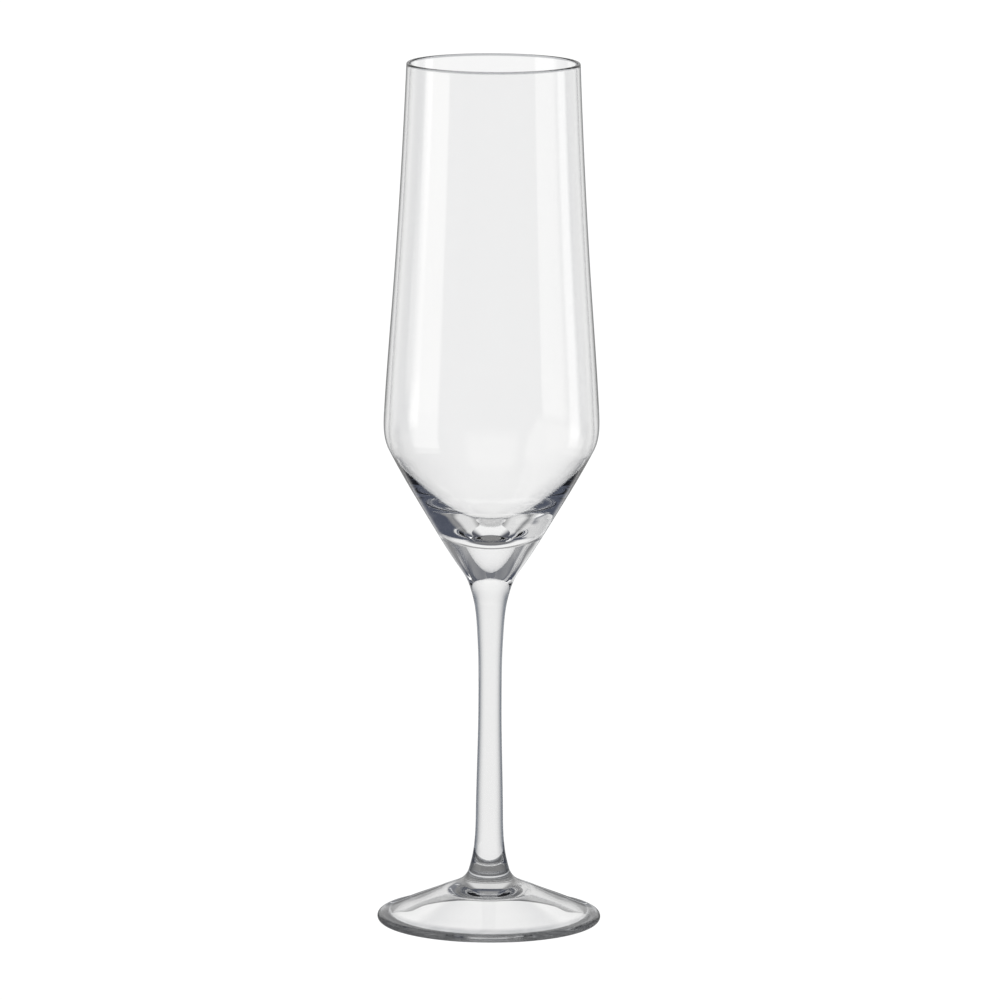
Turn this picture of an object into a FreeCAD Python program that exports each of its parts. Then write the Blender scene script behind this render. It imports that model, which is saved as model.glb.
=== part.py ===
import FreeCAD, Part
import math
import os

from FreeCAD import Vector

# A champagne flute in clear crystal, made from three gathers of glass that are fused while hot:
# a blown bowl with a solid conical base, a solid drawn stem, and a spun foot.
# Millimetres. +Z is up, the glass stands on Z = 0 and its axis of revolution is the Z axis.
# An outline station is (radius, height, lean): lean is the outline's angle from the vertical
# in degrees, positive where the glass widens going up.

# ---- overall ----
HEIGHT = 235.0
RIM_RADIUS = 23.4
RIM_WALL = 0.95
SHOULDER_RADIUS = 29.1
SHOULDER_HEIGHT = 139.6
STEM_WAIST_RADIUS = 3.17
STEM_WAIST_HEIGHT = 60.0
FOOT_RADIUS = 30.4
FOOT_EDGE_THICKNESS = 2.3

# ---- fused joints ----
UPPER_JOINT_HEIGHT = 89.4
UPPER_JOINT_RADIUS = 4.8
UPPER_JOINT_LEAN = 14.5
LOWER_JOINT_HEIGHT = 14.5
LOWER_JOINT_RADIUS = 5.4
LOWER_JOINT_LEAN = -14.5

# ---- bowl ----
CONE_FOOT = (7.75, 96.6, 36.0)
CONE_MIDDLE = (16.6, 110.5, 31.0)
CONE_TOP = (27.8, 130.1, 27.0)
WALL_MIDDLE = (26.1, 183.0, -3.7)
RIM_LEAN = -2.3
HOLLOW_BOTTOM_HEIGHT = 106.1
HOLLOW_BOTTOM_SIDE = (8.0, 108.2, 61.5)
HOLLOW_CONE_LOWER = (15.0, 114.0, 46.5)
HOLLOW_CONE_MIDDLE = (21.0, 120.8, 37.3)
HOLLOW_CONE_TOP = (26.4, 129.35, 28.0)
HOLLOW_SHOULDER = (27.75, 139.0, -2.5)
HOLLOW_WALL_MIDDLE = (25.05, 183.0, -3.7)

# ---- stem ----
STEM_LOWER_FLARE = (4.38, 19.0, -9.0)
STEM_SHANK = (3.7, 32.0, -0.8)
STEM_UPPER_FLARE = (3.48, 78.0, 3.5)

# ---- foot ----
FOOT_NECK = (8.0, 11.1, -61.0)
FOOT_SLOPE_MIDDLE = (14.0, 8.5, -65.5)
FOOT_SLOPE_OUTER = (24.0, 4.3, -66.0)
REST_RING_OUTER_RADIUS = 29.3
REST_RING_INNER_RADIUS = 26.3
UNDERSIDE_OUTER = (19.0, 3.25, -66.5)
UNDERSIDE_INNER = (12.0, 6.25, -67.0)
UNDERSIDE_SHOULDER = (9.0, 7.0, -82.0)
KICK_HEIGHT = 7.2


def at(radius, height):
    return Vector(radius, 0, height)


def line(start, end):
    return Part.makeLine(at(*start[:2]), at(*end[:2]))


def arc(start, middle, end):
    return Part.Arc(at(*start[:2]), at(*middle[:2]), at(*end[:2])).toShape()


def sweep_between(lower, upper):
    """One smooth stretch of outline that leaves each station along its lean."""
    start = at(*lower[:2])
    end = at(*upper[:2])
    reach = start.distanceToPoint(end) / 3
    lean_low = math.radians(lower[2])
    lean_high = math.radians(upper[2])
    leave = start + Vector(math.sin(lean_low), 0, math.cos(lean_low)) * reach
    arrive = end - Vector(math.sin(lean_high), 0, math.cos(lean_high)) * reach
    curve = Part.BezierCurve()
    curve.setPoles([start, leave, arrive, end])
    return curve.toShape()


def smooth_outline(stations):
    return [sweep_between(low, high) for low, high in zip(stations, stations[1:])]


def revolve(edges):
    """A solid of revolution about Z from a closed half outline, its edges given in order."""
    face = Part.Face(Part.Wire(edges))
    solid = face.revolve(Vector(0, 0, 0), Vector(0, 0, 1), 360)
    if solid.Volume < 0:
        solid.reverse()
    return solid


def make_bowl():
    lip_radius = RIM_WALL / 2
    lip_height = HEIGHT - lip_radius
    joint = (UPPER_JOINT_RADIUS, UPPER_JOINT_HEIGHT, UPPER_JOINT_LEAN)
    shoulder = (SHOULDER_RADIUS, SHOULDER_HEIGHT, -3.0)
    rim_outside = (RIM_RADIUS, lip_height, RIM_LEAN)
    rim_inside = (RIM_RADIUS - RIM_WALL, lip_height, RIM_LEAN)
    rim_crest = (RIM_RADIUS - lip_radius, HEIGHT)
    hollow_bottom = (0, HOLLOW_BOTTOM_HEIGHT, 90.0)
    joint_centre = (0, UPPER_JOINT_HEIGHT)
    outside = smooth_outline([joint, CONE_FOOT, CONE_MIDDLE, CONE_TOP, shoulder, WALL_MIDDLE, rim_outside])
    lip = arc(rim_outside, rim_crest, rim_inside)
    inside = smooth_outline([
        hollow_bottom,
        HOLLOW_BOTTOM_SIDE,
        HOLLOW_CONE_LOWER,
        HOLLOW_CONE_MIDDLE,
        HOLLOW_CONE_TOP,
        HOLLOW_SHOULDER,
        HOLLOW_WALL_MIDDLE,
        rim_inside,
    ])
    axis = line(hollow_bottom, joint_centre)
    joint_face = line(joint_centre, joint)
    return revolve(outside + [lip] + inside[::-1] + [axis, joint_face])


def make_stem():
    lower_joint = (LOWER_JOINT_RADIUS, LOWER_JOINT_HEIGHT, LOWER_JOINT_LEAN)
    upper_joint = (UPPER_JOINT_RADIUS, UPPER_JOINT_HEIGHT, UPPER_JOINT_LEAN)
    waist = (STEM_WAIST_RADIUS, STEM_WAIST_HEIGHT, 0.0)
    lower_centre = (0, LOWER_JOINT_HEIGHT)
    upper_centre = (0, UPPER_JOINT_HEIGHT)
    side = smooth_outline([lower_joint, STEM_LOWER_FLARE, STEM_SHANK, waist, STEM_UPPER_FLARE, upper_joint])
    upper_face = line(upper_joint, upper_centre)
    axis = line(upper_centre, lower_centre)
    lower_face = line(lower_centre, lower_joint)
    return revolve(side + [upper_face, axis, lower_face])


def make_foot():
    edge_radius = FOOT_EDGE_THICKNESS / 2
    joint = (LOWER_JOINT_RADIUS, LOWER_JOINT_HEIGHT, LOWER_JOINT_LEAN)
    joint_centre = (0, LOWER_JOINT_HEIGHT)
    edge_bottom = (REST_RING_OUTER_RADIUS, 0)
    edge_side = (FOOT_RADIUS, edge_radius)
    edge_top = (FOOT_RADIUS - edge_radius, FOOT_EDGE_THICKNESS, -75.0)
    ring_inner = (REST_RING_INNER_RADIUS, 0, -62.0)
    kick_top = (0, KICK_HEIGHT, -90.0)
    edge = arc(edge_bottom, edge_side, edge_top)
    top = smooth_outline([edge_top, FOOT_SLOPE_OUTER, FOOT_SLOPE_MIDDLE, FOOT_NECK, joint])
    joint_face = line(joint, joint_centre)
    axis = line(joint_centre, kick_top)
    underside = smooth_outline([ring_inner, UNDERSIDE_OUTER, UNDERSIDE_INNER, UNDERSIDE_SHOULDER, kick_top])
    rest_ring = line(ring_inner, edge_bottom)
    return revolve([rest_ring, edge] + top + [joint_face, axis] + underside[::-1])


def main():
    os.makedirs("parts", exist_ok=True)
    makers = {"bowl": make_bowl, "stem": make_stem, "foot": make_foot}
    for node, make in makers.items():
        make().exportStep(f"parts/{node}.step")


main()
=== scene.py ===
import math

import bmesh
import bpy
from bpy.props import FloatProperty, FloatVectorProperty, IntProperty, PointerProperty
from bpy.types import Operator, Panel, PropertyGroup
from mathutils import Matrix, Vector
from mathutils.geometry import interpolate_bezier


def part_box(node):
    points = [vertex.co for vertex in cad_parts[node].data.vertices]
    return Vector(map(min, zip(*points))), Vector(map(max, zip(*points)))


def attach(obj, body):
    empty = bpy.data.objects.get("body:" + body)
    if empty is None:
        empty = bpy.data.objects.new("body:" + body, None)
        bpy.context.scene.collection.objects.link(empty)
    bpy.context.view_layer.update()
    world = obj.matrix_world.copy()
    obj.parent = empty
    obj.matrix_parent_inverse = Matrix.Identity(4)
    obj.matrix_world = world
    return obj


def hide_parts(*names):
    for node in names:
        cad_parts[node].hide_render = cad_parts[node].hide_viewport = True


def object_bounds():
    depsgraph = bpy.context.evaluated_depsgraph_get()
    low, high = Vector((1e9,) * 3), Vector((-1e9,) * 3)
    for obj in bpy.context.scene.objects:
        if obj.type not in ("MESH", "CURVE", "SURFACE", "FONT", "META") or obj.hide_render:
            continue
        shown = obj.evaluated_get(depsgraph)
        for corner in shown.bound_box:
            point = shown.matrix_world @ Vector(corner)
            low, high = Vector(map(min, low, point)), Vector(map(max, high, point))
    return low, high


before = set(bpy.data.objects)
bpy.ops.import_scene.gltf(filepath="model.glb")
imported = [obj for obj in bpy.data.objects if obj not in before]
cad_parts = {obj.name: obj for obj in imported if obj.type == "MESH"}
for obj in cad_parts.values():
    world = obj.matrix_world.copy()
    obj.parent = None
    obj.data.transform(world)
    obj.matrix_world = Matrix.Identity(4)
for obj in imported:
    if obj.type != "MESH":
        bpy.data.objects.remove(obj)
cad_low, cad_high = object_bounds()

bl_info = {
    "name": "Champagne Flute",
    "version": (1, 0, 0),
    "blender": (4, 5, 0),
    "location": "3D View > Sidebar > Flute",
    "description": "A clear crystal flute built as its blown bowl, drawn stem and spun foot",
    "category": "Add Mesh",
}

MM = 0.001
HEIGHT = cad_high.z
FOOT_RADIUS = cad_high.x
LOWER_JOINT_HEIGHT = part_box("stem")[0].z
UPPER_JOINT_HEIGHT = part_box("stem")[1].z

# ---- outline stations ----
# A station is (radius, height, lean): lean is the outline's angle from the vertical in degrees,
# positive where the glass widens going up. Lengths are metres.

LOWER_JOINT = (5.4 * MM, LOWER_JOINT_HEIGHT, -14.5)
UPPER_JOINT = (4.8 * MM, UPPER_JOINT_HEIGHT, 14.5)

CONE_FOOT = (7.75 * MM, 96.6 * MM, 36.0)
CONE_MIDDLE = (16.6 * MM, 110.5 * MM, 31.0)
CONE_TOP = (27.8 * MM, 130.1 * MM, 27.0)
SHOULDER = (29.1 * MM, 139.6 * MM, -3.0)
WALL_MIDDLE = (26.1 * MM, 183.0 * MM, -3.7)
RIM_LEAN = -2.3

HOLLOW_BOTTOM_SIDE = (8.0 * MM, 108.2 * MM, 61.5)
HOLLOW_CONE_LOWER = (15.0 * MM, 114.0 * MM, 46.5)
HOLLOW_CONE_MIDDLE = (21.0 * MM, 120.8 * MM, 37.3)
HOLLOW_CONE_TOP = (26.4 * MM, 129.35 * MM, 28.0)
HOLLOW_SHOULDER = (27.75 * MM, 139.0 * MM, -2.5)
HOLLOW_WALL_MIDDLE = (25.05 * MM, 183.0 * MM, -3.7)

STEM_LOWER_FLARE = (4.38 * MM, 19.0 * MM, -9.0)
STEM_SHANK = (3.7 * MM, 32.0 * MM, -0.8)
STEM_UPPER_FLARE = (3.48 * MM, 78.0 * MM, 3.5)

FOOT_EDGE_LEAN = -75.0
FOOT_SLOPE_OUTER = (24.0 * MM, 4.3 * MM, -66.0)
FOOT_SLOPE_MIDDLE = (14.0 * MM, 8.5 * MM, -65.5)
FOOT_NECK = (8.0 * MM, 11.1 * MM, -61.0)
REST_RING_INNER = (26.3 * MM, 0, -62.0)
UNDERSIDE_OUTER = (19.0 * MM, 3.25 * MM, -66.5)
UNDERSIDE_INNER = (12.0 * MM, 6.25 * MM, -67.0)
UNDERSIDE_SHOULDER = (9.0 * MM, 7.0 * MM, -82.0)

# ---- mesh fineness ----

RING_SPACING = 0.8 * MM
STEM_RING_SPACING = 0.6 * MM
FEWEST_RINGS = 10
FLAT_RINGS = 6
LIP_RINGS = 14
FOOT_EDGE_RINGS = 20
SAME_POINT = 0.002 * MM
SAME_HEIGHT = 0.001 * MM
MERGE_DISTANCE = 0.001 * MM
CORNER_DEGREES = 50

# ---- the crystal's looks ----
# A piece's glass: how bright it is where clear, then how far its surface turns away before painted shade
# starts to darken its colour, and how far where the painted shade is darkest. The painted shade stands in
# for the dark room that glass seen edge on would show.

BLOWN = (1.0, 0.75, 0.93)
DRAWN = (0.9, 0.06, 0.56)
SPUN = (0.94, 0.68, 0.92)

# Waves left by hot work: how close together they are and how deep. They are drawn out upwards.

BLOWING_WAVES = (60.0, 0.01 * MM)
DRAWING_WAVES = (120.0, 0.005 * MM)
SPINNING_WAVES = (80.0, 0.01 * MM)
WAVE_STRETCH = (1.0, 1.0, 0.25)
WAVE_DETAIL = 1.5

# How far from its joint a piece's painted edge shade blends into the stem's.

BOWL_JOINT_REACH = 7.0 * MM
FOOT_JOINT_REACH = 2.5 * MM

# Rubbing on the resting ring: how high it reaches, how rough it leaves the glass and its scuffs.

RING_HEIGHT = 0.3 * MM
RING_RUBBING = 0.25
SCUFF_NOISE = (900.0, 4.0)
SCUFF_EDGE = (0.4, 0.7)

# Streaks that lighten the painted shade on the foot's bead, and a radius or height that no part of the
# glass reaches.

STREAK_NOISE = (160.0, 3.0)
STREAK_EDGE = (0.35, 0.65)
NOWHERE = 1.0

# ---- the studio ----
# Azimuth is in degrees from straight behind the glass, positive to the right, elevation is in
# degrees above the horizon, and distances along the floor are metres from the glass's axis.

DARK_ROOM = (0.075, 0.085, 0.115)
DARK_FLOOR = (0.085, 0.09, 0.11)
NEAR_FLOOR = 0.23
NEAR_FLOOR_EDGE = (0.05, 0.12)
FLOOR_BEHIND = 0.95
FLOOR_BEHIND_EDGE = (0.095, 0.14)
FLOOR_BEHIND_SIDES = (-30, 30, 10)
FLOOR_DROP = 0.2 * MM
WHITE_TO_CAMERA = 1.05
WHITE_TO_MATT = 1.25

# Each card of light in the dark room lies over the ones before it: (from azimuth, to azimuth,
# from elevation, to elevation, softness of its sides, brightness).

LOW_BACKDROP = (-53, 53, -29, 0, (8,), 0.4)
HIGH_BACKDROP = (-60, 60, 0, 40, (8,), 0.3)
HORIZON = (-50, 50, -17, -3, (8,), 0.78)
HORIZON_MIDDLE = (-19, 19, -17, -2, (5,), 0.36)
WINDOW_BEHIND = (-27, 27, 5, 38, (6,), 0.78)
RIGHT_FILL = (77, 117, -30, -4, (6,), 0.3)
HIGH_LEFT_BOX = (-128, -50, 3, 49, (1.5, 10), 0.75)
LEFT_BOX = (-120, -84, -27, 0, (1.5, 7))
LOW_RIGHT_BOX = (58, 86, -27, -11, (3,), 0.7)
RIGHT_BOX = (70, 86, -12, 4, (3,))
CARD_TOP_SOFTNESS = 3
HIGH_FRONT_LIGHT = 0.8
HIGH_FRONT_SIDES = (130, 150)
HIGH_FRONT_SPAN = (44, 64, 6)
CEILING_LIGHT = 0.4
CEILING_EDGE = (45, 61)
CEILING_SIDES = (60, 120)
CEILING_FADE = -0.7

# ---- the camera, its distances in heights of the glass and its turns in degrees ----

CAMERA_BACK = 9.222
CAMERA_RISE = 2.0237
CAMERA_TURN = -0.0636
CAMERA_TILT = 90 - 9.419
CAMERA_ROLL = 0.328


class FluteBowlSettings(PropertyGroup):
    height: FloatProperty(
        name="Height", description="Rim above the table", default=HEIGHT, unit="LENGTH"
    )
    rim_radius: FloatProperty(
        name="Rim radius", description="Outside the rim", default=23.4 * MM, unit="LENGTH"
    )
    rim_wall: FloatProperty(
        name="Rim wall", description="Glass thickness at the rim", default=0.95 * MM, unit="LENGTH"
    )
    hollow_bottom: FloatProperty(
        name="Hollow bottom",
        description="Height of the hollow's lowest point",
        default=106.1 * MM,
        unit="LENGTH",
    )


class FluteStemSettings(PropertyGroup):
    waist_radius: FloatProperty(
        name="Waist radius", description="The stem at its thinnest", default=3.17 * MM, unit="LENGTH"
    )
    waist_height: FloatProperty(
        name="Waist height", description="Where the stem is thinnest", default=60.0 * MM, unit="LENGTH"
    )


class FluteFootSettings(PropertyGroup):
    radius: FloatProperty(
        name="Radius", description="The foot's edge", default=FOOT_RADIUS, unit="LENGTH"
    )
    edge: FloatProperty(
        name="Edge", description="Thickness of the rounded edge", default=2.3 * MM, unit="LENGTH"
    )
    kick: FloatProperty(
        name="Kick", description="Rise of the underside at its middle", default=7.2 * MM, unit="LENGTH"
    )


class FluteGlassSettings(PropertyGroup):
    clear: FloatVectorProperty(
        name="Clear",
        description="Colour straight through the crystal",
        default=(1.0, 1.0, 0.998),
        subtype="COLOR",
    )
    # Painted shade colour given to glass seen edge on, in place of the dark room it would show.
    painted_shade_colour: FloatVectorProperty(
        name="Painted Shade",
        description="Colour where the crystal is seen edge on",
        default=(0.1, 0.115, 0.14),
        subtype="COLOR",
    )
    ior: FloatProperty(name="Refraction", description="Refractive index of the crystal", default=1.52)
    segments: IntProperty(name="Segments", description="Facets round the glass", default=224, min=24)


class FluteStageSettings(PropertyGroup):
    floor_radius: FloatProperty(
        name="Floor radius", description="Radius of the pale floor", default=0.35, unit="LENGTH"
    )
    backdrop: FloatProperty(
        name="Backdrop", description="Brightness of the backdrop through the glass", default=1.0
    )
    left_box: FloatProperty(
        name="Left box", description="Brightness of the left soft box", default=1.15
    )
    right_box: FloatProperty(
        name="Right box", description="Brightness of the right soft box", default=1.5
    )
    lens: FloatProperty(
        name="Lens", description="Focal length on a 36 mm sensor", default=292.2, unit="CAMERA"
    )


# ---- outlines ----


def at(radius, height):
    return Vector((radius, 0, height))


def on_axis(height):
    return at(0, height)


def stretch(lower, upper, rings):
    """Points of one smooth stretch of outline that leaves each station along its lean."""
    start = at(*lower[:2])
    end = at(*upper[:2])
    reach = (end - start).length / 3
    lean_low = math.radians(lower[2])
    lean_high = math.radians(upper[2])
    leave = start + Vector((math.sin(lean_low), 0, math.cos(lean_low))) * reach
    arrive = end - Vector((math.sin(lean_high), 0, math.cos(lean_high))) * reach
    return interpolate_bezier(start, leave, arrive, end, rings + 1)


def smooth_outline(stations, spacing=RING_SPACING):
    """Points along all the stations, with rings closer together than the spacing."""
    points = []
    for low, high in zip(stations, stations[1:]):
        length = math.dist(low[:2], high[:2])
        rings = max(FEWEST_RINGS, math.ceil(length / spacing))
        points += stretch(low, high, rings)[:-1]
    points.append(at(*stations[-1][:2]))
    return points


def round_edge(centre, radius, start_degrees, end_degrees, rings):
    """Points of an arc in the outline's plane, counted from the horizontal."""
    points = []
    for ring in range(rings + 1):
        angle = math.radians(start_degrees + (end_degrees - start_degrees) * ring / rings)
        points.append(centre + Vector((math.cos(angle), 0, math.sin(angle))) * radius)
    return points


def flat(start, end):
    """Points of a straight stretch of outline."""
    return [start.lerp(end, ring / FLAT_RINGS) for ring in range(FLAT_RINGS + 1)]


def clean(points):
    """The outline without the points that repeat where two stretches meet."""
    kept = [points[0]]
    for point in points[1:]:
        if (point - kept[-1]).length > SAME_POINT:
            kept.append(point)
    return kept


# ---- meshes ----


def spin_outline(outline, segments):
    """A closed mesh of revolution from an outline that starts and ends on the axis."""
    mesh = bmesh.new()
    points = [mesh.verts.new(point) for point in outline]
    edges = [mesh.edges.new(pair) for pair in zip(points, points[1:])]
    bmesh.ops.spin(
        mesh,
        geom=points + edges,
        cent=(0, 0, 0),
        axis=(0, 0, 1),
        dvec=(0, 0, 0),
        angle=math.tau,
        steps=segments,
        use_merge=True,
    )
    bmesh.ops.remove_doubles(mesh, verts=mesh.verts, dist=MERGE_DISTANCE)
    bmesh.ops.recalc_face_normals(mesh, faces=mesh.faces)
    return mesh


def finish_piece(mesh, name, node, joint_heights, glass):
    """Makes the object, smooth but for the corners of its fused joints, and gives it its materials."""
    for face in mesh.faces:
        face.smooth = True
        for height in joint_heights:
            if all(abs(corner.co.z - height) < SAME_HEIGHT for corner in face.verts):
                face.material_index = 1
    data = bpy.data.meshes.new(name)
    mesh.to_mesh(data)
    mesh.free()
    data.set_sharp_from_angle(angle=math.radians(CORNER_DEGREES))
    data.materials.append(glass)
    data.materials.append(fused_joint())
    piece = bpy.data.objects.new(name, data)
    bpy.context.scene.collection.objects.link(piece)
    piece.visible_shadow = False
    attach(piece, "root")
    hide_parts(node)
    return piece


# ---- materials ----


class Nodes:
    """A short way to lay out shader nodes."""

    def __init__(self, tree):
        self.tree = tree

    def add(self, kind, **settings):
        node = self.tree.nodes.new(kind)
        for key, value in settings.items():
            setattr(node, key, value)
        return node

    def put(self, value, socket):
        """Sets a socket to a number or a colour, or links another socket to it."""
        if isinstance(value, (int, float)):
            socket.default_value = value
        elif isinstance(value, tuple):
            socket.default_value = (*value, 1) if len(socket.default_value) == 4 else value
        else:
            self.tree.links.new(value, socket)

    def math(self, operation, *values):
        node = self.add("ShaderNodeMath", operation=operation)
        for socket, value in zip(node.inputs, values):
            self.put(value, socket)
        return node.outputs[0]

    def length(self, x, y):
        """The distance from the axis."""
        squares = self.math("ADD", self.math("MULTIPLY", x, x), self.math("MULTIPLY", y, y))
        return self.math("SQRT", squares)

    def split(self, vector):
        """The three parts of a vector."""
        node = self.add("ShaderNodeSeparateXYZ")
        self.put(vector, node.inputs[0])
        return node.outputs

    def rise(self, value, low, high):
        """Nought below low, one above high and smooth between."""
        node = self.add("ShaderNodeMapRange", interpolation_type="SMOOTHSTEP")
        for name, amount in (("Value", value), ("From Min", low), ("From Max", high)):
            self.put(amount, node.inputs[name])
        return node.outputs["Result"]

    def window(self, value, low, high, low_soft, high_soft=None):
        """One between low and high, with soft ends."""
        high_soft = high_soft or low_soft
        opens = self.rise(value, low - low_soft, low + low_soft)
        shuts = self.rise(value, high - high_soft, high + high_soft)
        return self.math("MULTIPLY", opens, self.math("SUBTRACT", 1.0, shuts))

    def mix(self, factor, below, above):
        node = self.add("ShaderNodeMix", data_type="RGBA")
        self.put(factor, node.inputs[0])
        self.put(below, node.inputs[6])
        self.put(above, node.inputs[7])
        return node.outputs[2]

    def noise(self, vector, scale, detail):
        node = self.add("ShaderNodeTexNoise")
        self.put(vector, node.inputs["Vector"])
        self.put(scale, node.inputs["Scale"])
        self.put(detail, node.inputs["Detail"])
        return node.outputs["Fac"]


def new_group(name, inputs, outputs):
    """A shader node group with its named sockets, its nodes helper and its two ends."""
    group = bpy.data.node_groups.new(name, "ShaderNodeTree")
    for direction, sockets in (("INPUT", inputs), ("OUTPUT", outputs)):
        for label, kind in sockets:
            group.interface.new_socket(label, in_out=direction, socket_type=kind)
    nodes = Nodes(group)
    return group, nodes, nodes.add("NodeGroupInput").outputs, nodes.add("NodeGroupOutput").inputs


def painted_edge_shade_group():
    """Painted shade: colour that darkens where the surface turns away, standing in for the dark
    surroundings that glass seen edge on shows.
    """
    name = "Edge Depth"
    if name in bpy.data.node_groups:
        return bpy.data.node_groups[name]
    inputs = [
        ("Facing", "NodeSocketFloat"),
        ("Start", "NodeSocketFloat"),
        ("Full", "NodeSocketFloat"),
        ("Clear", "NodeSocketColor"),
        ("Painted Shade", "NodeSocketColor"),
        ("Bead", "NodeSocketFloat"),
    ]
    group, n, source, result = new_group(name, inputs, [("Colour", "NodeSocketColor")])
    turned = n.rise(source["Facing"], source["Start"], source["Full"])
    painted_shade = n.math("MAXIMUM", turned, source["Bead"])
    n.put(n.mix(painted_shade, source["Clear"], source["Painted Shade"]), result["Colour"])
    return group


def painted_bead_shade_group():
    """A mask of painted shade over a rounded edge: the foot's beyond a radius, the rim's above a height, a
    little uneven.
    """
    name = "Bead"
    if name in bpy.data.node_groups:
        return bpy.data.node_groups[name]
    inputs = [
        ("Vector", "NodeSocketVector"),
        ("Radius", "NodeSocketFloat"),
        ("Height", "NodeSocketFloat"),
        ("Softness", "NodeSocketFloat"),
        ("Unevenness", "NodeSocketFloat"),
        ("Depth", "NodeSocketFloat"),
    ]
    group, n, source, result = new_group(name, inputs, [("Mask", "NodeSocketFloat")])
    x, y, z = n.split(source["Vector"])
    reach = n.length(x, y)
    outward = n.math("SUBTRACT", reach, source["Radius"])
    beyond = n.math("MAXIMUM", outward, n.math("SUBTRACT", z, source["Height"]))
    mask = n.rise(beyond, 0.0, source["Softness"])
    streaks = n.rise(n.noise(source["Vector"], *STREAK_NOISE), *STREAK_EDGE)
    fainter = n.math("SUBTRACT", 1.0, n.math("MULTIPLY", streaks, source["Unevenness"]))
    mask = n.math("MULTIPLY", mask, fainter)
    n.put(n.math("MULTIPLY", mask, source["Depth"]), result["Mask"])
    return group


def hot_work_group():
    """The faint waves that blowing, drawing and spinning leave, and rubbing on the resting ring."""
    name = "Hot Work"
    if name in bpy.data.node_groups:
        return bpy.data.node_groups[name]
    inputs = [
        ("Vector", "NodeSocketVector"),
        ("Wave Scale", "NodeSocketFloat"),
        ("Ring Height", "NodeSocketFloat"),
        ("Rubbing", "NodeSocketFloat"),
    ]
    outputs = [("Height", "NodeSocketFloat"), ("Roughness", "NodeSocketFloat")]
    group, n, source, result = new_group(name, inputs, outputs)
    stretched = n.add("ShaderNodeVectorMath", operation="MULTIPLY")
    n.put(source["Vector"], stretched.inputs[0])
    n.put(WAVE_STRETCH, stretched.inputs[1])
    n.put(n.noise(stretched.outputs[0], source["Wave Scale"], WAVE_DETAIL), result["Height"])
    above = n.rise(n.split(source["Vector"])[2], 0.0, source["Ring Height"])
    scuffs = n.rise(n.noise(source["Vector"], *SCUFF_NOISE), *SCUFF_EDGE)
    worn = n.math("MULTIPLY", n.math("SUBTRACT", 1.0, above), scuffs)
    n.put(n.math("MULTIPLY", worn, source["Rubbing"]), result["Roughness"])
    return group


def joint_fade_group():
    """A mask that fades out away from a fused joint, used to blend the stem's painted edge shade into the
    next piece.
    """
    name = "Joint Fade"
    if name in bpy.data.node_groups:
        return bpy.data.node_groups[name]
    inputs = [("Vector", "NodeSocketVector"), ("Height", "NodeSocketFloat"), ("Reach", "NodeSocketFloat")]
    group, n, source, result = new_group(name, inputs, [("Mask", "NodeSocketFloat")])
    z = n.split(source["Vector"])[2]
    away = n.math("ABSOLUTE", n.math("SUBTRACT", z, source["Height"]))
    n.put(n.math("SUBTRACT", 1.0, n.rise(away, 0.0, source["Reach"])), result["Mask"])
    return group


def use_group(n, group, values):
    """Places a group in a material with its own values and returns its outputs."""
    node = n.add("ShaderNodeGroup", node_tree=group)
    for label, value in values.items():
        n.put(value, node.inputs[label])
    return node.outputs


def crystal(name, glass, waves, joint=None, bead_shade=None, rubbing=0.0):
    """Clear fire-polished crystal, with painted shade darkening its colour where it is seen edge on."""
    wave_scale, wave_depth = waves
    settings = bpy.context.scene.flute_glass
    material = bpy.data.materials.new(name)
    material.use_nodes = True
    n = Nodes(material.node_tree)
    shader = material.node_tree.nodes["Principled BSDF"]
    shader.inputs["IOR"].default_value = settings.ior
    shader.inputs["Transmission Weight"].default_value = 1.0
    # Layer Weight's Facing drives the painted edge shade.
    weight = n.add("ShaderNodeLayerWeight")
    weight.inputs["Blend"].default_value = 0.5
    place = n.add("ShaderNodeTexCoord").outputs["Object"]

    def painted_shade(clear, start, full):
        return {
            "Facing": weight.outputs["Facing"],
            "Start": start,
            "Full": full,
            "Clear": tuple(clear * value for value in settings.clear),
            "Painted Shade": tuple(settings.painted_shade_colour),
        }

    own = painted_shade(*glass)
    # Painted shade over a rounded bead, added to the painted edge shade.
    if bead_shade:
        own["Bead"] = use_group(n, painted_bead_shade_group(), {"Vector": place, **bead_shade})["Mask"]
    colour = use_group(n, painted_edge_shade_group(), own)["Colour"]
    # Near a joint the piece's painted edge shade blends into the stem's.
    if joint:
        drawn = use_group(n, painted_edge_shade_group(), painted_shade(*DRAWN))["Colour"]
        fade = use_group(n, joint_fade_group(), {"Vector": place, **joint})
        colour = n.mix(fade["Mask"], colour, drawn)
    # The Base Color carries the painted edge shade.
    n.put(colour, shader.inputs["Base Color"])
    wear = {"Wave Scale": wave_scale, "Ring Height": RING_HEIGHT, "Rubbing": rubbing}
    work = use_group(n, hot_work_group(), {"Vector": place, **wear})
    if rubbing:
        n.put(work["Roughness"], shader.inputs["Roughness"])
    else:
        shader.inputs["Roughness"].default_value = 0.0
    bump = n.add("ShaderNodeBump")
    n.put(1.0, bump.inputs["Strength"])
    n.put(wave_depth, bump.inputs["Distance"])
    n.put(work["Height"], bump.inputs["Height"])
    n.put(bump.outputs["Normal"], shader.inputs["Normal"])
    return material


def fused_joint():
    """The faces where two gathers have run together: nothing is seen there."""
    name = "fused_joint"
    if name in bpy.data.materials:
        return bpy.data.materials[name]
    material = bpy.data.materials.new(name)
    material.use_nodes = True
    shader = material.node_tree.nodes["Principled BSDF"]
    shader.inputs["Alpha"].default_value = 0.0
    return material


# ---- pieces ----


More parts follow.
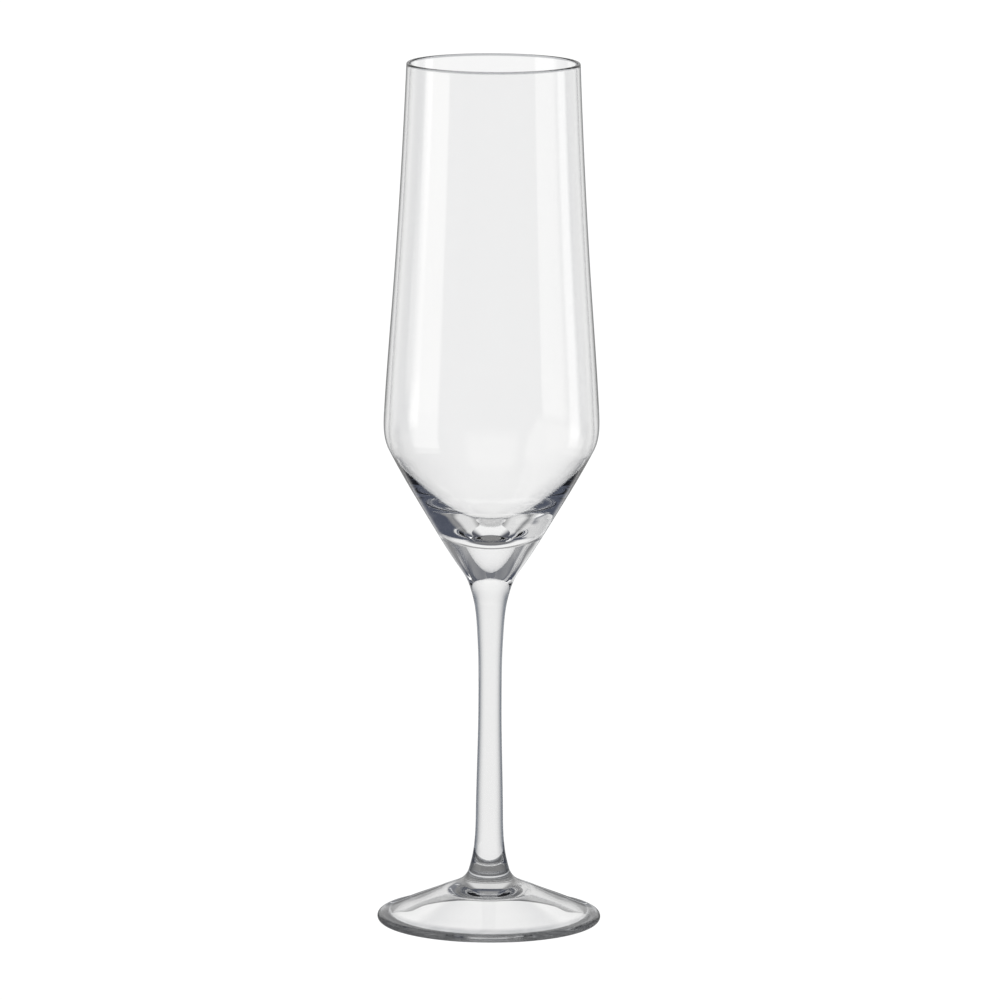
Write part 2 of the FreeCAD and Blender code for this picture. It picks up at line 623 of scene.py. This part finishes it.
class FLUTE_OT_bowl(Operator):
    """Blow the bowl: cone, rounded shoulder, tapering wall, polished rim and rounded hollow"""

    bl_idname = "flute.bowl"
    bl_label = "Blow Bowl"

    def execute(self, context):
        size = context.scene.flute_bowl
        lip = size.rim_wall / 2
        lip_height = size.height - lip
        rim_outside = (size.rim_radius, lip_height, RIM_LEAN)
        rim_inside = (size.rim_radius - size.rim_wall, lip_height, RIM_LEAN)
        outside = [UPPER_JOINT, CONE_FOOT, CONE_MIDDLE, CONE_TOP, SHOULDER, WALL_MIDDLE, rim_outside]
        inside = [
            (0, size.hollow_bottom, 90.0),
            HOLLOW_BOTTOM_SIDE,
            HOLLOW_CONE_LOWER,
            HOLLOW_CONE_MIDDLE,
            HOLLOW_CONE_TOP,
            HOLLOW_SHOULDER,
            HOLLOW_WALL_MIDDLE,
            rim_inside,
        ]
        outline = clean(
            flat(on_axis(UPPER_JOINT_HEIGHT), at(*UPPER_JOINT[:2]))
            + smooth_outline(outside)
            + round_edge(at(size.rim_radius - lip, lip_height), lip, 0, 180, LIP_RINGS)
            + smooth_outline(inside)[::-1]
        )
        mesh = spin_outline(outline, context.scene.flute_glass.segments)
        # Painted shade over the rim's lip.
        rim_painted_shade = {
            "Radius": NOWHERE,
            "Height": size.height - 0.8 * MM,
            "Softness": 0.3 * MM,
            "Unevenness": 0.0,
            "Depth": 0.5,
        }
        joint = {"Height": UPPER_JOINT_HEIGHT, "Reach": BOWL_JOINT_REACH}
        glass = crystal("blown_crystal", BLOWN, BLOWING_WAVES, joint, rim_painted_shade)
        finish_piece(mesh, "blown_bowl", "bowl", [UPPER_JOINT_HEIGHT], glass)
        return {"FINISHED"}


class FLUTE_OT_stem(Operator):
    """Draw the solid stem with its two flares"""

    bl_idname = "flute.stem"
    bl_label = "Draw Stem"

    def execute(self, context):
        size = context.scene.flute_stem
        waist = (size.waist_radius, size.waist_height, 0.0)
        side = [LOWER_JOINT, STEM_LOWER_FLARE, STEM_SHANK, waist, STEM_UPPER_FLARE, UPPER_JOINT]
        outline = clean(
            flat(on_axis(LOWER_JOINT_HEIGHT), at(*LOWER_JOINT[:2]))
            + smooth_outline(side, STEM_RING_SPACING)
            + flat(at(*UPPER_JOINT[:2]), on_axis(UPPER_JOINT_HEIGHT))
        )
        mesh = spin_outline(outline, context.scene.flute_glass.segments)
        # The stem's glass is dimmed throughout and darkened by painted edge shade.
        glass = crystal("drawn_crystal", DRAWN, DRAWING_WAVES)
        finish_piece(mesh, "drawn_stem", "stem", [LOWER_JOINT_HEIGHT, UPPER_JOINT_HEIGHT], glass)
        return {"FINISHED"}


class FLUTE_OT_foot(Operator):
    """Spin the foot out to a disc with a rounded edge and a hollow underside"""

    bl_idname = "flute.foot"
    bl_label = "Spin Foot"

    def execute(self, context):
        size = context.scene.flute_foot
        edge_radius = size.edge / 2
        ring_outer = size.radius - edge_radius
        edge_top = (ring_outer, size.edge, FOOT_EDGE_LEAN)
        kick_top = (0, size.kick, -90.0)
        top = [edge_top, FOOT_SLOPE_OUTER, FOOT_SLOPE_MIDDLE, FOOT_NECK, LOWER_JOINT]
        underside = [REST_RING_INNER, UNDERSIDE_OUTER, UNDERSIDE_INNER, UNDERSIDE_SHOULDER, kick_top]
        outline = clean(
            smooth_outline(underside)[::-1]
            + flat(at(*REST_RING_INNER[:2]), at(ring_outer, 0))
            + round_edge(at(ring_outer, edge_radius), edge_radius, -90, 90, FOOT_EDGE_RINGS)
            + smooth_outline(top)
            + flat(at(*LOWER_JOINT[:2]), on_axis(LOWER_JOINT_HEIGHT))
        )
        mesh = spin_outline(outline, context.scene.flute_glass.segments)
        # Painted shade over the foot's rounded edge, lightened in streaks.
        foot_painted_shade = {
            "Radius": size.radius - 4.5 * MM,
            "Height": NOWHERE,
            "Softness": 2.0 * MM,
            "Unevenness": 0.3,
            "Depth": 0.62,
        }
        joint = {"Height": LOWER_JOINT_HEIGHT, "Reach": FOOT_JOINT_REACH}
        glass = crystal("spun_crystal", SPUN, SPINNING_WAVES, joint, foot_painted_shade, RING_RUBBING)
        finish_piece(mesh, "spun_foot", "foot", [LOWER_JOINT_HEIGHT], glass)
        return {"FINISHED"}


# ---- stage ----


def grey(level):
    return (level, level, level)


def reflected(n):
    """The Light Path node, and one for light reflected on its way or nought if seen straight through."""
    path = n.add("ShaderNodeLightPath")
    return path, n.math("GREATER_THAN", path.outputs["Glossy Depth"], 0.5)


def make_floor(settings):
    """A pale floor: white seen through the glass, and dark in reflections but for a patch behind."""
    mesh = bmesh.new()
    bmesh.ops.create_circle(mesh, cap_ends=True, segments=96, radius=settings.floor_radius)
    data = bpy.data.meshes.new("floor")
    mesh.to_mesh(data)
    mesh.free()
    floor = bpy.data.objects.new("floor", data)
    floor.location.z = -FLOOR_DROP
    bpy.context.scene.collection.objects.link(floor)
    material = bpy.data.materials.new("floor_white")
    material.use_nodes = True
    tree = material.node_tree
    tree.nodes.clear()
    n = Nodes(tree)
    out = n.add("ShaderNodeOutputMaterial")
    glow = n.add("ShaderNodeEmission")
    place = n.add("ShaderNodeTexCoord")
    x, y, _ = n.split(place.outputs["Object"])
    reach = n.length(x, y)
    azimuth = n.math("DEGREES", n.math("ARCTAN2", x, y))
    near = n.math("SUBTRACT", 1.0, n.rise(reach, *NEAR_FLOOR_EDGE))
    dark = n.mix(near, DARK_FLOOR, grey(NEAR_FLOOR))
    behind = n.math("MULTIPLY", n.window(azimuth, *FLOOR_BEHIND_SIDES), n.rise(reach, *FLOOR_BEHIND_EDGE))
    dark = n.mix(behind, dark, grey(FLOOR_BEHIND))
    path, bounced = reflected(n)
    n.put(n.mix(bounced, grey(settings.backdrop), dark), glow.inputs["Color"])
    bright = n.math("MULTIPLY_ADD", path.outputs["Is Camera Ray"], WHITE_TO_CAMERA - 1.0, 1.0)
    n.put(bright, glow.inputs["Strength"])
    n.put(glow.outputs[0], out.inputs[0])
    data.materials.append(material)


def make_world(settings):
    """White behind the glass, with a dark room and soft boxes for what the glass reflects."""
    world = bpy.data.worlds.new("white_studio")
    bpy.context.scene.world = world
    world.use_nodes = True
    tree = world.node_tree
    tree.nodes.clear()
    n = Nodes(tree)
    out = n.add("ShaderNodeOutputWorld")
    background = n.add("ShaderNodeBackground")
    n.put(background.outputs[0], out.inputs[0])
    place = n.add("ShaderNodeTexCoord")
    x, y, z = n.split(place.outputs["Generated"])
    azimuth = n.math("DEGREES", n.math("ARCTAN2", x, y))
    off_centre = n.math("ABSOLUTE", azimuth)
    elevation = n.math("DEGREES", n.math("ARCSINE", z))

    def card(seen, low, high, bottom, top, soft, level):
        across = n.window(azimuth, low, high, *soft)
        upward = n.window(elevation, bottom, top, CARD_TOP_SOFTNESS)
        return n.mix(n.math("MULTIPLY", across, upward), seen, grey(level))

    room = card(DARK_ROOM, *LOW_BACKDROP)
    for light in (HIGH_BACKDROP, HORIZON, HORIZON_MIDDLE, WINDOW_BEHIND, RIGHT_FILL, HIGH_LEFT_BOX):
        room = card(room, *light)
    room = card(room, *LEFT_BOX, settings.left_box)
    room = card(room, *LOW_RIGHT_BOX)
    room = card(room, *RIGHT_BOX, settings.right_box)
    front = n.rise(off_centre, *HIGH_FRONT_SIDES)
    high_front = n.math("MULTIPLY", front, n.window(elevation, *HIGH_FRONT_SPAN))
    room = n.mix(high_front, room, grey(HIGH_FRONT_LIGHT))
    ceiling = n.math("MULTIPLY_ADD", n.rise(off_centre, *CEILING_SIDES), CEILING_FADE, 1.0)
    ceiling = n.math("MULTIPLY", n.rise(elevation, *CEILING_EDGE), ceiling)
    room = n.mix(ceiling, room, grey(CEILING_LIGHT))
    path, bounced = reflected(n)
    seen = n.mix(bounced, grey(settings.backdrop), room)
    seen = n.mix(path.outputs["Is Camera Ray"], seen, grey(WHITE_TO_CAMERA))
    seen = n.mix(path.outputs["Is Diffuse Ray"], seen, grey(WHITE_TO_MATT))
    n.put(seen, background.inputs["Color"])


def make_camera(settings):
    camera = bpy.data.objects.new("camera", bpy.data.cameras.new("camera"))
    camera.data.lens = settings.lens
    camera.data.sensor_width = 36
    camera.data.clip_start = 0.1
    camera.data.clip_end = 50
    turn = Matrix.Rotation(math.radians(CAMERA_TURN), 4, "Z")
    tilt = Matrix.Rotation(math.radians(CAMERA_TILT), 4, "X")
    roll = Matrix.Rotation(math.radians(CAMERA_ROLL), 4, "Z")
    place = Matrix.Translation((0, -CAMERA_BACK * HEIGHT, CAMERA_RISE * HEIGHT))
    camera.matrix_world = place @ turn @ tilt @ roll
    bpy.context.scene.collection.objects.link(camera)
    bpy.context.scene.camera = camera


class FLUTE_OT_stage(Operator):
    """Set the white floor, the soft lights and the camera"""

    bl_idname = "flute.stage"
    bl_label = "Set Stage"

    def execute(self, context):
        settings = context.scene.flute_stage
        make_floor(settings)
        make_world(settings)
        make_camera(settings)
        view = context.scene.view_settings
        view.view_transform = "Standard"
        cycles = context.scene.cycles
        cycles.max_bounces = 32
        cycles.transmission_bounces = 32
        cycles.glossy_bounces = 16
        cycles.transparent_max_bounces = 32
        return {"FINISHED"}


class FLUTE_PT_panel(Panel):
    """Lists the flute's pieces and settings"""

    bl_label = "Champagne Flute"
    bl_space_type = "VIEW_3D"
    bl_region_type = "UI"
    bl_category = "Flute"

    def draw(self, context):
        layout = self.layout
        for group, operator in GROUPS:
            box = layout.box()
            settings = getattr(context.scene, group)
            for key in settings.__annotations__:
                box.prop(settings, key)
            if operator:
                box.operator(operator)


GROUPS = [
    ("flute_glass", None),
    ("flute_bowl", "flute.bowl"),
    ("flute_stem", "flute.stem"),
    ("flute_foot", "flute.foot"),
    ("flute_stage", "flute.stage"),
]
SETTINGS = {
    "flute_glass": FluteGlassSettings,
    "flute_bowl": FluteBowlSettings,
    "flute_stem": FluteStemSettings,
    "flute_foot": FluteFootSettings,
    "flute_stage": FluteStageSettings,
}
CLASSES = [*SETTINGS.values(), FLUTE_OT_bowl, FLUTE_OT_stem, FLUTE_OT_foot, FLUTE_OT_stage, FLUTE_PT_panel]


def register():
    for cls in CLASSES:
        bpy.utils.register_class(cls)
    for name, cls in SETTINGS.items():
        setattr(bpy.types.Scene, name, PointerProperty(type=cls))


def unregister():
    for name in SETTINGS:
        delattr(bpy.types.Scene, name)
    for cls in reversed(CLASSES):
        bpy.utils.unregister_class(cls)


def main():
    register()
    bpy.ops.flute.bowl()
    bpy.ops.flute.stem()
    bpy.ops.flute.foot()
    bpy.ops.flute.stage()


if __name__ == "__main__":
    main()
